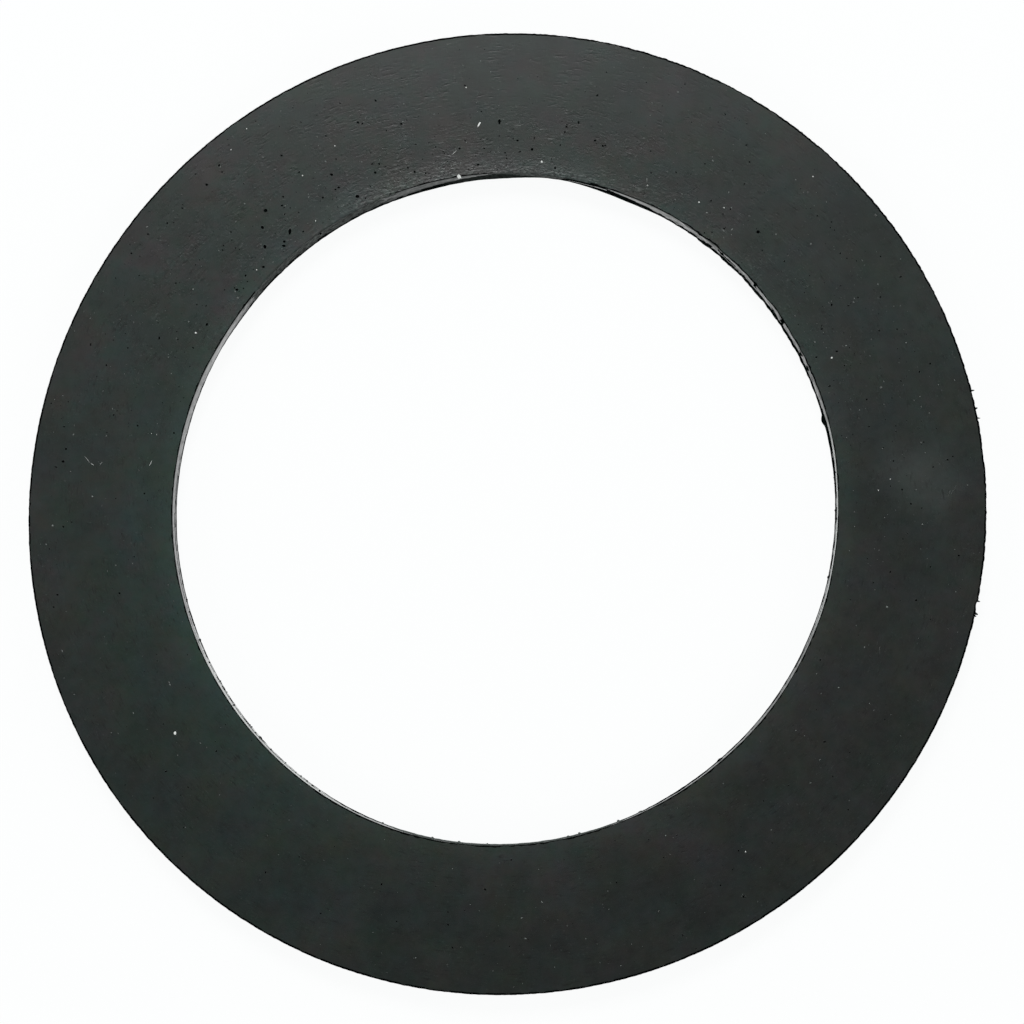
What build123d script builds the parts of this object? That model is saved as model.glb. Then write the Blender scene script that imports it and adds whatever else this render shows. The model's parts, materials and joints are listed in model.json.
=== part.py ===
"""Flat rubber gasket that seals the body of an inlet fitting against its wall.

One ring, cut from a rubber tube: two flat faces, a round bore that slips over
the fitting's thread, and a plain rim. The cutting left marks that stay on the
part: a shallow scallop where the blade ran out at the bore's lower edge, a
lip and a lobe of rubber that it pushed into the bore, and a bite and some
whiskers on the rim.

Millimetres. The origin is on the bore's axis, in the plane of the underside,
and +Z points out of the upper face. Angles are in degrees, from +X towards +Y.
"""

from build123d import *
import math
import os

# The ring: its bore, and the width of its flat face from the bore to the rim
bore_diameter = 62.0
face_width = 13.45
thickness = 2.4

# Edges: the rim's are rubbed round, the bore's only lose their sharpness
rim_edge_round = 0.15
bore_edge_break = 0.08

# Scallop in the bore's lower edge, where the blade ran out of the cut
scallop_angle = 81.0
scallop_length = 10.2
scallop_depth = 0.27
scallop_height = 1.5

# Swellings of the bore's lower edge: a long thin lip and a short lobe
lip_angle = 117.0
lip_length = 22.7
lip_proud = 0.12
lip_height = 0.5
lobe_angle = 16.0
lobe_length = 1.1
lobe_proud = 0.2
lobe_height = 0.7

# Whiskers on the rim, each a thin cone that points outwards
whisker_angles = [347.9, 349.6, 11.6, 12.7, 14.9]
whisker_root = 0.16
whisker_tip = 0.06
whisker_proud = 0.28
whisker_height = 1.8

# Bite out of the rim, between two of the whiskers
bite_angle = 348.75
bite_length = 0.9
bite_depth = 0.1

# How deep the root of a swelling or a whisker lies inside the ring
rooted = 0.3

bore_radius = bore_diameter / 2
rim_radius = bore_radius + face_width


def section():
    """Half the ring's section: a rectangle, bevelled at the bore's corners and round at the rim's."""
    shape = Pos(bore_radius + face_width / 2, thickness / 2) * Rectangle(face_width, thickness)
    shape = chamfer(shape.vertices().group_by(Axis.X)[0], bore_edge_break)
    return fillet(shape.vertices().group_by(Axis.X)[-1], rim_edge_round)


def ring():
    """The plain ring: its section turned about Z."""
    return revolve(Plane.XZ * section(), Axis.Z)


def circle_through(half_chord, rise):
    """Radius of the circle that rises so far above the middle of its chord."""
    return (half_chord**2 + rise**2) / (2 * rise)


def scallop():
    """The blade's bite: a cone whose round side reaches past the wall, most at the underside."""
    half_chord = scallop_length / 2
    reach = bore_radius + scallop_depth
    rise = reach - math.sqrt(bore_radius**2 - half_chord**2)
    cutter_radius = circle_through(half_chord, rise)
    narrowing = scallop_depth * thickness / scallop_height
    cutter = Cone(cutter_radius + narrowing, cutter_radius - narrowing, 2 * thickness)
    return Rot(0, 0, scallop_angle) * Pos(reach - cutter_radius, 0, 0) * cutter


def swelling(angle, length, proud, height):
    """Rubber pushed into the bore at its lower edge: it rises from the wall in one arc and sinks back."""
    half_angle = math.degrees(length / 2 / bore_radius)
    start, end = (Vector(bore_radius, 0).rotate(Axis.Z, turn) for turn in (-half_angle, half_angle))
    root_radius = bore_radius + rooted
    deep_start, deep_end = (point * (root_radius / bore_radius) for point in (start, end))
    outline = [
        ThreePointArc(start, (bore_radius - proud, 0), end),
        Line(end, deep_end),
        ThreePointArc(deep_end, (root_radius, 0), deep_start),
        Line(deep_start, start),
    ]
    return Rot(0, 0, angle) * Pos(0, 0, bore_edge_break) * extrude(make_face(outline), height)


def whisker(angle):
    """A thin cone that stands on the rim, with its root inside the ring."""
    cone = Cone(whisker_root, whisker_tip, whisker_proud + rooted)
    middle = rim_radius + (whisker_proud - rooted) / 2
    return Rot(0, 0, angle) * Pos(middle, 0, whisker_height) * Rot(0, 90, 0) * cone


def bite():
    """The bite: an upright cylinder that enters the rim by the bite's depth over its length."""
    half_chord = bite_length / 2
    rise = bite_depth - (rim_radius - math.sqrt(rim_radius**2 - half_chord**2))
    cutter_radius = circle_through(half_chord, rise)
    cutter = Cylinder(cutter_radius, 2 * thickness)
    return Rot(0, 0, bite_angle) * Pos(rim_radius - bite_depth + cutter_radius, 0, thickness / 2) * cutter


def gasket_ring():
    """The whole ring with its cutting marks."""
    body = ring() - scallop() - bite()
    body += swelling(lip_angle, lip_length, lip_proud, lip_height)
    body += swelling(lobe_angle, lobe_length, lobe_proud, lobe_height)
    for angle in whisker_angles:
        body += whisker(angle)
    return body


os.makedirs("parts", exist_ok=True)
export_step(gasket_ring(), "parts/gasket_ring.step")
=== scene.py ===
"""Looks of the inlet fitting gasket: a flat ring of black rubber, parted from a thick tube with a knife.

Lengths are in metres in the frame of the CAD model: the origin is on the bore's axis, in the plane of the
underside, and +Z points out of the upper face. Angles round the ring are in degrees, from +X towards +Y.
"""

import json
import math
from functools import partial
from typing import NamedTuple

import bpy
import numpy as np
from mathutils import Matrix, Vector


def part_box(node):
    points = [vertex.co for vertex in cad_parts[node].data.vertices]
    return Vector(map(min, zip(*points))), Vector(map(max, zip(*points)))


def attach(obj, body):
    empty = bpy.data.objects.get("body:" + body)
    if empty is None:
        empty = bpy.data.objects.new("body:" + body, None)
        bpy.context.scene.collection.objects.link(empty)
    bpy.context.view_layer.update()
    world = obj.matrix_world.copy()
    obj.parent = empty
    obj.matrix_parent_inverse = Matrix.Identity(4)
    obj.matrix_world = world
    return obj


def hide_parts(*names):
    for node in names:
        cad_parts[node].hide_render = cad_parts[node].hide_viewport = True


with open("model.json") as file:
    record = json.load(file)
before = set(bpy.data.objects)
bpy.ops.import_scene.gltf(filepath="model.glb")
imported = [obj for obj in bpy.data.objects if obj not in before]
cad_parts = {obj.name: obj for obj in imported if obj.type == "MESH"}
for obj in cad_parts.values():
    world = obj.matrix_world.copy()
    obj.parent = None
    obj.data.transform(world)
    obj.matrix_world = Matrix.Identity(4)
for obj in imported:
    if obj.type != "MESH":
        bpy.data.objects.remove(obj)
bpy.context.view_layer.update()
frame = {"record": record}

bl_info = {
    "name": "Inlet fitting gasket",
    "version": (1, 0, 0),
    "blender": (4, 5, 0),
    "location": "3D View > Sidebar > Gasket",
    "description": "Builds the knife-cut rubber ring, its burrs, grains and pores, and the studio round it",
    "category": "Add Mesh",
}

MM = 0.001
LOW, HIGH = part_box("gasket_ring")
THICKNESS = HIGH.z
RIM_RADIUS = HIGH.y
BORE_RADIUS = next(m for m in frame["record"]["mounts"] if m["name"] == "bore")["dims"]["r_mm"] * MM
MEAN_RADIUS = (BORE_RADIUS + RIM_RADIUS) / 2
PHOTO_WIDTH = 1024
SENSOR_WIDTH = 36

# Pixels of the photograph are read from its 1024 x 1024 frame, and name places on the upper face.


class Mark(NamedTuple):
    """A mark on the upper face: its place in the photograph's pixels, its size in mm, its turn in degrees."""

    x: float
    y: float
    length: float
    width: float
    turn: float = 0.0


# White grains and fibres that stand out
GRAINS = [
    Mark(*row)
    for row in (
        (478.5, 124.0, 0.60, 0.14, 62), (458.6, 176.2, 0.46, 0.34, 140), (541.2, 161.3, 0.20, 0.18),
        (174.6, 732.6, 0.36, 0.22, 95), (195.3, 332.3, 0.18, 0.16), (831.3, 357.3, 0.20, 0.15, 75),
        (698.5, 201.8, 0.16, 0.13, 40), (465.6, 87.0, 0.13, 0.11), (302.0, 175.1, 0.12, 0.11),
        (256.1, 269.3, 0.12, 0.10, 20), (334.3, 145.4, 0.12, 0.10, 150), (315.1, 220.3, 0.14, 0.09, 80),
        (230.4, 149.2, 0.11, 0.10), (246.2, 128.2, 0.10, 0.09, 70), (453.8, 152.0, 0.70, 0.03, 47),
        (647.0, 185.0, 0.12, 0.10), (723.5, 207.3, 0.12, 0.10), (812.4, 176.0, 0.13, 0.09, 35),
        (745.1, 851.2, 0.13, 0.12), (192.6, 288.6, 0.11, 0.06, 80), (151.0, 433.0, 0.08, 0.08),
        (156.2, 434.0, 0.08, 0.07), (86.8, 459.0, 0.80, 0.02, -52), (91.8, 463.8, 0.40, 0.02, -35),
        (100.5, 463.0, 0.40, 0.02, 50), (150.2, 462.6, 0.62, 0.035, 66), (877.8, 489.8, 0.10, 0.09),
        (889.8, 478.5, 0.10, 0.09),
    )
]

# Grey crumbs of rubber that stand out
CRUMBS = [
    Mark(*row)
    for row in (
        (237.3, 297.4, 0.24, 0.20), (244.2, 203.2, 0.16, 0.13), (225.3, 201.6, 0.14, 0.12),
        (235.3, 221.2, 0.20, 0.12, 60), (325.0, 161.2, 0.20, 0.18), (316.3, 136.4, 0.24, 0.20),
        (402.2, 121.2, 0.18, 0.15), (731.0, 207.3, 0.17, 0.13, 120), (706.2, 212.2, 0.19, 0.15, 20),
        (807.1, 191.8, 0.26, 0.20, 80), (795.2, 179.3, 0.12, 0.11), (845.6, 345.2, 0.15, 0.12, 30),
        (814.3, 341.6, 0.18, 0.15), (794.4, 315.4, 0.17, 0.15), (810.4, 243.4, 0.24, 0.11, 75),
        (875.2, 214.8, 0.30, 0.20, 140), (853.0, 301.7, 0.17, 0.14), (880.3, 387.0, 0.32, 0.18, 45),
        (859.0, 409.5, 0.13, 0.10), (846.0, 437.0, 0.11, 0.09), (882.0, 448.0, 0.11, 0.09),
        (854.0, 511.5, 0.17, 0.14), (884.0, 517.0, 0.13, 0.10, 20), (854.0, 526.0, 0.11, 0.08),
        (921.8, 523.8, 0.16, 0.14), (886.5, 606.4, 0.19, 0.17), (598.0, 176.0, 0.24, 0.20),
        (681.4, 193.6, 0.16, 0.12), (92.0, 496.0, 0.15, 0.14), (52.1, 525.1, 0.21, 0.17),
        (70.0, 471.0, 0.13, 0.11), (45.6, 544.0, 0.13, 0.12), (953.3, 489.0, 1.20, 0.012, 60),
        (948.5, 493.0, 0.90, 0.01, 66), (646.4, 179.6, 0.48, 0.09, 90), (879.2, 650.0, 0.90, 0.02, 90),
        (518.0, 125.2, 0.60, 0.05, 4),
    )
]

# Pores that stand out
PORES = [
    Mark(*row)
    for row in (
        (498.9, 121.2, 0.42, 0.21, 90), (517.0, 140.0, 0.20, 0.17), (531.5, 148.8, 0.25, 0.20, 20),
        (477.6, 164.0, 0.18, 0.15), (459.0, 148.0, 0.18, 0.15, 60), (407.3, 167.2, 0.21, 0.17),
        (414.2, 171.3, 0.21, 0.17), (218.6, 164.8, 0.21, 0.15, 50), (206.3, 184.1, 0.24, 0.20),
        (265.0, 210.1, 0.34, 0.27), (262.0, 226.9, 0.29, 0.23, 140), (264.4, 246.2, 0.34, 0.25, 100),
        (289.3, 230.9, 0.52, 0.24, 85), (283.8, 241.0, 0.23, 0.19), (283.4, 245.3, 0.34, 0.20, 170),
        (281.5, 205.0, 0.19, 0.16), (289.6, 207.3, 0.11, 0.10), (298.2, 211.8, 0.14, 0.09, 160),
        (322.3, 197.0, 0.20, 0.16, 30), (331.0, 174.0, 0.28, 0.20, 160), (334.9, 188.8, 0.17, 0.14),
        (356.9, 196.0, 0.32, 0.27), (357.4, 121.9, 0.27, 0.19, 150), (361.8, 123.0, 0.18, 0.14, 60),
        (325.4, 135.3, 0.14, 0.12), (374.8, 172.0, 0.22, 0.20), (320.1, 233.3, 0.20, 0.16, 20),
        (262.9, 266.3, 0.25, 0.20, 10), (245.2, 275.0, 0.20, 0.15, 60), (236.4, 289.1, 0.26, 0.20, 170),
        (224.0, 289.4, 0.14, 0.09, 10), (206.3, 324.0, 0.24, 0.20, 60), (62.6, 461.0, 0.24, 0.20),
        (63.6, 426.2, 0.16, 0.12), (173.5, 432.5, 0.17, 0.14), (144.0, 493.0, 0.17, 0.13, 20),
        (757.5, 231.3, 0.30, 0.26), (831.0, 221.5, 0.12, 0.10), (839.7, 252.8, 0.13, 0.11),
        (846.4, 257.8, 0.12, 0.11), (594.5, 140.0, 0.23, 0.17, 15), (650.0, 150.6, 0.15, 0.12),
        (847.8, 305.2, 0.19, 0.10, 5), (929.6, 363.1, 0.18, 0.15), (923.2, 441.6, 0.12, 0.11),
        (868.6, 426.0, 0.17, 0.08, 8), (901.6, 489.0, 0.16, 0.14), (958.3, 555.0, 0.17, 0.14),
        (872.9, 582.0, 0.13, 0.10), (930.0, 618.8, 0.11, 0.09), (743.6, 896.0, 0.27, 0.20),
    )
]


def linear(hexadecimal):
    """A colour written as #RRGGBB in sRGB, as linear red, green and blue."""
    levels = np.array([int(hexadecimal[i : i + 2], 16) for i in (1, 3, 5)]) / 255
    return tuple(np.where(levels <= 0.04045, levels / 12.92, ((levels + 0.055) / 1.055) ** 2.4))


# Shapes round the ring


def turn_between(angle, centre):
    """The signed turn from centre to angle, from -180 to 180 degrees."""
    return (angle - centre + 180) % 360 - 180


def hump(angle, centre, half_width):
    """A squared cosine that rises to 1 at centre and is 0 past half_width on either side."""
    share = np.clip(np.abs(turn_between(angle, centre)) / half_width, 0, 1)
    return np.cos(share * math.pi / 2) ** 2


def smooth(share):
    """The S curve 3s^2 - 2s^3 of a share that is first kept from 0 to 1."""
    share = np.clip(share, 0, 1)
    return share * share * (3 - 2 * share)


def plateau(angle, start, end, shoulder):
    """1 from start to end, which an S curve reaches over a shoulder inside each end."""
    half = (end - start) % 360 / 2
    return smooth((half - np.abs(turn_between(angle, start + half))) / shoulder)


def round_noise(rng, angle, pitch, radius):
    """Noise that closes on itself: random knots a pitch apart on a circle, joined by S curves."""
    count = round(2 * math.pi * radius / pitch)
    knots = rng.uniform(-1, 1, count)
    place = angle / 360 * count
    first = np.floor(place).astype(int)
    share = smooth(place - first)
    return knots[first % count] * (1 - share) + knots[(first + 1) % count] * share


def wall_noise(rng, angle, height, pitch, height_pitch, radius):
    """The same noise on a wall: rows of it a height pitch apart, joined upwards by S curves."""
    level = height / height_pitch
    rows = [round_noise(rng, angle, pitch, radius) for _ in range(int(level.max()) + 2)]
    rows = np.stack([np.broadcast_to(row, angle.shape)[0] for row in rows])
    first = np.floor(level[:, 0]).astype(int)
    share = smooth(level - first[:, None])
    return rows[first] * (1 - share) + rows[first + 1] * share


# Meshes


def mesh_piece(name, points, faces, materials, slot_of_face=None):
    """A mesh object of points (n, 3) in metres and faces (m, corners), with a material for each face."""
    mesh = bpy.data.meshes.new(name)
    mesh.from_pydata(points, [], faces)
    for material in materials:
        mesh.materials.append(material)
    if slot_of_face is not None:
        mesh.polygons.foreach_set("material_index", slot_of_face.ravel().astype(np.int32))
    mesh.polygons.foreach_set("use_smooth", np.ones(len(faces), bool))
    mesh.update()
    if mesh.validate():
        raise RuntimeError(f"{name}: the mesh had faces that Blender refused")
    piece = bpy.data.objects.new(name, mesh)
    bpy.context.scene.collection.objects.link(piece)
    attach(piece, "root")
    return piece


def loop_faces(rows, columns):
    """Quads of a grid that closes both ways: their corners are at (row, column) and one row and column on."""
    row, column = np.meshgrid(np.arange(rows), np.arange(columns), indexing="ij")
    next_row = (row + 1) % rows
    next_column = (column + 1) % columns
    corners = [row * columns + column, next_row * columns + column]
    corners += [next_row * columns + next_column, row * columns + next_column]
    return np.stack(corners, axis=-1).reshape(-1, 4)


def turned(profile, sides):
    """A profile of (radius, height) turned about Z: it starts and ends on the axis, and fans close it there.

    Point (i, k) lies at the profile's radius i in the direction 360 k / sides, at the profile's height i.
    Gives the points and the triangles, which point outwards when the profile runs upwards.
    """
    radius, height = np.array(profile[1:-1]).T
    around = np.arange(sides) * 2 * math.pi / sides
    x = radius[:, None] * np.cos(around)
    y = radius[:, None] * np.sin(around)
    z = np.broadcast_to(height[:, None], x.shape)
    body = np.stack([x, y, z], axis=-1).reshape(-1, 3)
    points = np.vstack([[0, 0, profile[0][1]], body, [0, 0, profile[-1][1]]])
    side = np.arange(sides)
    beside = (side + 1) % sides
    faces = [np.stack([np.zeros_like(side), 1 + beside, 1 + side], axis=-1)]
    for ring in range(len(radius) - 1):
        low = 1 + ring * sides
        high = low + sides
        faces.append(np.stack([low + side, low + beside, high + beside], axis=-1))
        faces.append(np.stack([low + side, high + beside, high + side], axis=-1))
    last = 1 + (len(radius) - 1) * sides
    faces.append(np.stack([last + side, last + beside, np.full_like(side, len(points) - 1)], axis=-1))
    return points, np.vstack(faces)


def copies(points, faces, places, axes, lengths, bends=None):
    """Copies of one shape: each point is scaled by the copy's lengths, bent, laid along its axes and moved.

    Place = axes * (point * lengths) + bend * (the point's height)^2 + the copy's place.
    """
    shaped = points[None] * lengths[:, None]
    moved = np.einsum("kij,kni->knj", axes, shaped)
    if bends is not None:
        moved += bends[:, None] * points[None, :, 2:] ** 2
    moved += places[:, None]
    offsets = np.arange(len(places))[:, None, None] * len(points)
    return moved.reshape(-1, 3), (faces[None] + offsets).reshape(-1, faces.shape[1])


def flat_axes(turn):
    """Axes of copies that lie on the face: the first at turn degrees from +X, the third upwards."""
    angle = np.radians(turn)
    zero = np.zeros_like(angle)
    first = np.stack([np.cos(angle), np.sin(angle), zero], axis=-1)
    second = np.stack([-np.sin(angle), np.cos(angle), zero], axis=-1)
    third = np.broadcast_to([0.0, 0.0, 1.0], first.shape)
    return np.stack([first, second, third], axis=1)


def outward_axes(direction):
    """Axes of copies whose third axis is a direction, and whose first is level where it can be."""
    third = direction / np.linalg.norm(direction, axis=-1, keepdims=True)
    helper = np.where(np.abs(third[:, 2:]) > 0.9, [1.0, 0.0, 0.0], [0.0, 0.0, 1.0])
    first = np.cross(helper, third)
    first /= np.linalg.norm(first, axis=-1, keepdims=True)
    return np.stack([first, np.cross(third, first), third], axis=1)


def polar(angle, radius, height):
    """Points at an angle in degrees round the bore's axis, a radius from it and a height."""
    turn = np.radians(angle)
    return np.stack(np.broadcast_arrays(radius * np.cos(turn), radius * np.sin(turn), height), axis=-1)


# Sizes and colours


def length_of(name, description, millimetres):
    """A property that holds a length: it is given in mm and kept in metres."""
    metres = millimetres * MM
    return bpy.props.FloatProperty(name=name, description=description, default=metres, unit="LENGTH")


def colour_of(name, description, hexadecimal):
    """A property that holds a colour: it is given in sRGB and kept linear."""
    return bpy.props.FloatVectorProperty(
        name=name, description=description, subtype="COLOR", default=linear(hexadecimal)
    )


class RingShape(bpy.types.PropertyGroup):
    """Form of the ring as it lies: a soft ring is never quite round, and its cut is not quite clean."""

    columns: bpy.props.IntProperty(
        name="Columns", description="Columns of the grid round the ring", default=2160, min=600, max=2200
    )
    rim_oval: length_of("Rim oval", "How far the rim leaves a circle", 0.275)
    rim_oval_turn: bpy.props.FloatProperty(
        name="Rim oval turn", description="Direction of the rim's longest diameter, in degrees", default=61.0
    )
    bore_oval: length_of("Bore oval", "How far the bore leaves a circle", 0.297)
    bore_oval_turn: bpy.props.FloatProperty(
        name="Bore oval turn", description="Direction of the bore's longest diameter, in degrees",
        default=66.0,
    )
    rim_round: length_of("Rim round", "Radius of the rubbed edge of the rim", 0.15)
    arris: length_of("Bore arris", "Width of the broken edge of the bore", 0.08)
    scallop_depth: length_of("Scallop", "Depth of the scallop in the lower edge", 0.27)
    torn_relief: length_of("Torn relief", "Height of the lumps on torn wall", 0.05)
    ripple: length_of("Knife ripple", "Depth of the knife's lines in the wall", 0.008)
    serration: length_of("Rim serration", "Depth of the teeth left on the rim", 0.035)
    seed: bpy.props.IntProperty(name="Seed", description="Seed of the ring's irregularities", default=11)


class RubberFinish(bpy.types.PropertyGroup):
    """Colours and grain of the rubber."""

    rubber: colour_of("Rubber", "Cut rubber", "#121F1B")
    warm_rubber: colour_of("Warm rubber", "Browner patches of it", "#1C1B1A")
    scuff: colour_of("Scuff", "Rubber greyed by the knife", "#7E8582")
    # This near-black is also painted shade: the black of the edges, of the pores' floors, and of the torn
    # wall near +Y
    deep_rubber_and_shade: colour_of("Deep rubber", "Rubber in pores, tears and edges", "#040505")
    # This pale colour is a painted reflection on the bore's wall, of the white card that it mirrors
    painted_reflection: colour_of("Bloom", "Pale film that the rubber sweats out", "#C9CECB")
    patch: length_of("Patch", "Size of the greener and browner patches", 5.0)
    cloud: length_of("Cloud", "Size of the lighter and darker clouds", 4.8)
    dash_length: length_of("Dash length", "Length of a knife mark", 0.8)
    dash_pitch: length_of("Dash pitch", "Distance between knife marks", 0.21)
    grain: length_of("Grain", "Size of the rubber's grain, coarser than the real one", 0.24)
    mottle: length_of("Mottle", "Size of the face's finest clouds", 1.1)
    cluster: length_of("Cluster", "Size of a cluster of flecks", 2.2)


class LooseMarks(bpy.types.PropertyGroup):
    """Grains, pores, burrs and whiskers."""

    grain_count: bpy.props.IntProperty(name="Grains", description="Fine grains on the face", default=880)
    pore_count: bpy.props.IntProperty(name="Pores", description="Fine pores in the face", default=800)
    burr_count: bpy.props.IntProperty(name="Burrs", description="Beads on the bore's low edge", default=70)
    grain_colour: colour_of("Grain", "Chalky dust", "#E4E7E4")
    thin_grain_colour: colour_of("Thin grain", "The same dust where it is thin", "#B4B9B6")
    seed: bpy.props.IntProperty(name="Seed", description="Seed of the strewn marks", default=5)


class Studio(bpy.types.PropertyGroup):
    """Camera, lamps and floor."""

    camera_place: bpy.props.FloatVectorProperty(
        name="Camera", description="Place of the camera", default=(6.88 * MM, -16.67 * MM, 217.5 * MM),
        subtype="TRANSLATION",
    )
    lens: bpy.props.FloatProperty(
        name="Lens", description="Focal length for a 36 mm sensor, in mm", default=82.07
    )
    shift_x: bpy.props.FloatProperty(
        name="Shift X", description="Share of the picture's width", default=0.00675
    )
    shift_y: bpy.props.FloatProperty(
        name="Shift Y", description="Share of the picture's width", default=-0.00286
    )
    floor: colour_of("Floor", "White card", "#FDFEFE")
    key: bpy.props.FloatProperty(
        name="Key", description="Share of the light that the softbox past the top edge gives", default=0.55
    )
    fill: bpy.props.FloatProperty(
        name="Fill", description="Share of the light that each low softbox gives", default=0.12
    )
    ceiling: bpy.props.FloatProperty(name="Ceiling", description="Brightness of the ceiling", default=0.12)


# Materials


def add_node(tree, kind, inputs=(), out=0, **settings):
    """Adds a node with its settings to a tree, and gives one of its outputs.

    The inputs are values or other nodes' outputs: a tuple in the order of the node's own inputs, or a
    dictionary by their names or numbers.
    """
    node = tree.nodes.new("ShaderNode" + kind)
    for name, value in settings.items():
        setattr(node, name, value)
    for key, value in dict(enumerate(inputs) if isinstance(inputs, tuple) else inputs).items():
        if isinstance(value, bpy.types.NodeSocket):
            tree.links.new(value, node.inputs[key])
        else:
            node.inputs[key].default_value = value
    return node.outputs[out]


def rgba(colour):
    """A linear colour with an alpha of 1."""
    return (*colour, 1.0)


def material(name, **constants):
    """A material with one Principled shader, whose constants stand on its own sockets, and its add_node."""
    made = bpy.data.materials.new(name)
    made.use_nodes = True
    shader = made.node_tree.nodes["Principled BSDF"]
    for key, value in constants.items():
        shader.inputs[key.replace("_", " ")].default_value = value
    return made, partial(add_node, made.node_tree)


def finished(made, colour, coats, rough=None, relief=None, strength=0.0, depth=0.0):
    """The material with its surface: a colour under coats of others, and maybe a roughness and a relief.

    Each coat is (share of what lies below that it hides, its own colour), and the relief is a bump.
    """
    tree = made.node_tree
    for share, coat in coats:
        colour = add_node(tree, "Mix", {0: share, 6: colour, 7: rgba(coat)}, out=2, data_type="RGBA")
    surface = {"Base Color": colour}
    if rough is not None:
        surface["Roughness"] = rough
        bump = {"Height": relief, "Strength": strength, "Distance": depth}
        surface["Normal"] = add_node(tree, "Bump", bump)
    for name, output in surface.items():
        tree.links.new(output, tree.nodes["Principled BSDF"].inputs[name])
    return made


def from_axis(add, place):
    """The level direction from the ring's axis to each place, and the distance from that axis."""
    flat = add("VectorMath", (place, (1, 1, 0)), operation="MULTIPLY")
    heading = add("VectorMath", (flat,), operation="NORMALIZE")
    return heading, add("VectorMath", (flat,), operation="LENGTH", out="Value")


def round_track(add, across, length, pitch):
    """Coordinates that follow the ring: one unit is a length along it, and a pitch across it.

    The direction from the axis, which has no seam, is scaled by the mean radius over the length. To it is
    added, as the third coordinate, the distance across over the pitch: radius on a face, height on a wall.
    """
    place = add("TexCoord", out="Object")
    heading, radius = from_axis(add, place)
    distance = radius if across == "radius" else add("SeparateXYZ", (place,), out="Z")
    along = add("VectorMath", {0: heading, "Scale": MEAN_RADIUS / length}, operation="SCALE")
    stations = add("Math", (distance, 1 / pitch), operation="MULTIPLY")
    offset = add("CombineXYZ", {"Z": stations})
    return place, heading, radius, add("VectorMath", (along, offset), operation="ADD")


def beside(add, heading, degrees, start, full):
    """A mask round the ring: 1 towards a direction and 0 away from it, by the cosine of the turn between."""
    angle = math.radians(degrees)
    direction = (math.cos(angle), math.sin(angle), 0)
    cosine = add("VectorMath", (heading, direction), operation="DOT_PRODUCT", out="Value")
    return add("MapRange", (cosine, start, full), interpolation_type="SMOOTHSTEP")


def raised(add, heading, base, *sides):
    """A base value raised towards some sides, each of them (degrees, start, full, how much it adds there)."""
    for degrees, start, full, much in sides:
        mask = beside(add, heading, degrees, start, full)
        base = add("Math", (mask, much, base), operation="MULTIPLY_ADD")
    return base


def beside_circle(add, radius, middle, near, far, most, **settings):
    """A mask across the face: most up to a near distance from a circle, and 0 from a far one."""
    away = add("Math", (radius, middle), operation="SUBTRACT")
    away = add("Math", (away,), operation="ABSOLUTE")
    return add("MapRange", (away, near, far, most, 0.0), **settings)


def face_tint(add, finish, place, heading, radius):
    """The cut face's tint, in patches.

    The brown patches stand out most on the sides of +Y and -X, and the side of +X and -Y is a little browner
    all over. On the side of -X the face is greener beside the bore than at the rim.
    """
    patches = add(
        "TexNoise", {"Vector": place, "Scale": 1 / finish.patch, "Detail": 5.0, "Roughness": 0.72}
    )
    contrast = raised(add, heading, 1.15, (102, 0.35, 1.0, 1.7), (165, 0.4, 1.0, 0.4))
    browned = add("Math", (patches, 0.5), operation="SUBTRACT")
    browned = add("Math", (browned, contrast, 0.5), operation="MULTIPLY_ADD")
    rimward = add("MapRange", (radius, BORE_RADIUS, RIM_RADIUS, -0.11, 0.11))
    browned = raised(add, heading, browned, (-50, 0.2, 1.0, 0.15), (170, 0.2, 0.9, rimward))
    brown_share = add("MapRange", (browned, 0.36, 0.84))
    rubbers = {0: brown_share, 6: rgba(finish.rubber), 7: rgba(finish.warm_rubber)}
    tone = add("Mix", rubbers, out=2, data_type="RGBA")
    # Other patches are yellower or bluer: the noise's second channel weakens or lifts the blue
    yellows = add("SeparateColor", (patches.node.outputs["Color"],), out="Green")
    blueness = add("MapRange", (yellows, 0.3, 0.7, 1.22, 0.78))
    blue_gain = add("CombineXYZ", (1.0, 1.0, blueness))
    return add("VectorMath", (tone, blue_gain), operation="MULTIPLY")


def face_brightness(add, clouds, heading, radius):
    """How bright the cut face is, by its clouds and by the place on it."""
    brightness = add("MapRange", (clouds, 0.3, 0.7, 0.55, 1.45))
    # The rubber is paler on the first two millimetres beside the bore
    turned_out = (radius, BORE_RADIUS, BORE_RADIUS + 2.2 * MM, 0.6, 0.0)
    edge_glow = add("MapRange", turned_out, interpolation_type="SMOOTHSTEP")
    brightness = add("Math", (brightness, edge_glow), operation="ADD")
    # Towards -X and -Y it stays a little paler over half of the face, and towards -X all over
    inner_half = (radius, BORE_RADIUS + 1.5 * MM, BORE_RADIUS + 9 * MM, 0.34, 0.0)
    wide_glow = add("MapRange", inner_half, interpolation_type="SMOOTHSTEP")
    return raised(add, heading, brightness, (238, 0.0, 0.9, wide_glow), (188, 0.2, 1.0, 0.18))


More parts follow.
